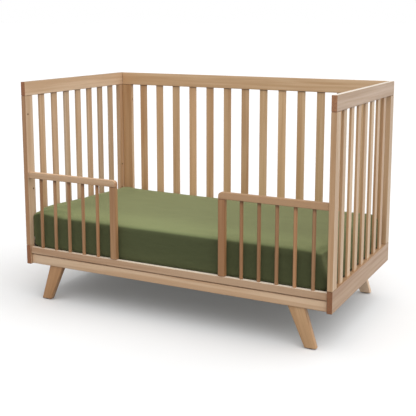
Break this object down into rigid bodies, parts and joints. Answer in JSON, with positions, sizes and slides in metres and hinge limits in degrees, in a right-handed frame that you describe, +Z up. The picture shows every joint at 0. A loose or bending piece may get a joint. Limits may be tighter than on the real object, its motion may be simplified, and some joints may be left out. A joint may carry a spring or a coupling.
{
  "type": "baby crib",
  "caption": "Slatted wooden baby crib on splayed legs, set up as a toddler bed with two half guard rails, a steel mattress support and a mattress in a fitted sheet.",
  "frame": {"origin": "middle of the footprint, on the floor under the feet", "axes": "+Z up, +X along the bed to the right seen from the open guard rail side, +Y from the guard rail to the high back"},
  "size_m": [1.365, 0.756, 0.93],
  "materials": {
    "beech_frame": "washed natural beech, satin lacquer",
    "beech_slat": "washed natural beech, satin lacquer",
    "beech_guard": "washed natural beech, satin lacquer",
    "beech_spindle": "turned beech, satin lacquer",
    "beech_leg": "washed natural beech, satin lacquer",
    "support_steel": "silver-grey powder coat",
    "mattress_cover": "white wipe-clean cover",
    "sheet_cotton": "olive green cotton, matt"
  },
  "bodies": {
    "crib_frame": {"left_end_top_rail": "beech_frame", "left_end_bottom_rail": "beech_frame", "left_end_front_stile": "beech_frame", "left_end_rear_stile": "beech_frame", "left_end_slat_1": "beech_slat", "left_end_slat_2": "beech_slat", "left_end_slat_3": "beech_slat", "left_end_slat_4": "beech_slat", "left_end_slat_5": "beech_slat", "left_end_slat_6": "beech_slat", "left_end_slat_7": "beech_slat", "right_end_top_rail": "beech_frame", "right_end_bottom_rail": "beech_frame", "right_end_front_stile": "beech_frame", "right_end_rear_stile": "beech_frame", "right_end_slat_1": "beech_slat", "right_end_slat_2": "beech_slat", "right_end_slat_3": "beech_slat", "right_end_slat_4": "beech_slat", "right_end_slat_5": "beech_slat", "right_end_slat_6": "beech_slat", "right_end_slat_7": "beech_slat", "back_top_rail": "beech_frame", "back_bottom_rail": "beech_frame", "back_left_stile": "beech_frame", "back_right_stile": "beech_frame", "back_slat_1": "beech_slat", "back_slat_2": "beech_slat", "back_slat_3": "beech_slat", "back_slat_4": "beech_slat", "back_slat_5": "beech_slat", "back_slat_6": "beech_slat", "back_slat_7": "beech_slat", "back_slat_8": "beech_slat", "back_slat_9": "beech_slat", "back_slat_10": "beech_slat", "back_slat_11": "beech_slat", "back_slat_12": "beech_slat", "back_slat_13": "beech_slat", "guard_bottom_rail": "beech_guard", "guard_left_top_rail": "beech_guard", "guard_left_post": "beech_guard", "guard_left_spindle_1": "beech_spindle", "guard_left_spindle_2": "beech_spindle", "guard_left_spindle_3": "beech_spindle", "guard_left_spindle_4": "beech_spindle", "guard_left_spindle_5": "beech_spindle", "guard_right_top_rail": "beech_guard", "guard_right_post": "beech_guard", "guard_right_spindle_1": "beech_spindle", "guard_right_spindle_2": "beech_spindle", "guard_right_spindle_3": "beech_spindle", "guard_right_spindle_4": "beech_spindle", "guard_right_spindle_5": "beech_spindle", "front_leg_frame": "beech_leg", "rear_leg_frame": "beech_leg"},
    "support": {"support_frame": "support_steel", "spring_deck": "support_steel"},
    "bedding": {"mattress": "mattress_cover", "fitted_sheet": "sheet_cotton"}
  },
  "joints": [
    {"name": "support_height", "type": "slide", "parent": "crib_frame", "child": "support", "axis": [0, 0, 1], "range_m": [0, 0.234]},
    {"name": "mattress_lift", "type": "slide", "parent": "support", "child": "bedding", "axis": [0, 0, 1], "range_m": [0, 0.72]}
  ]
}
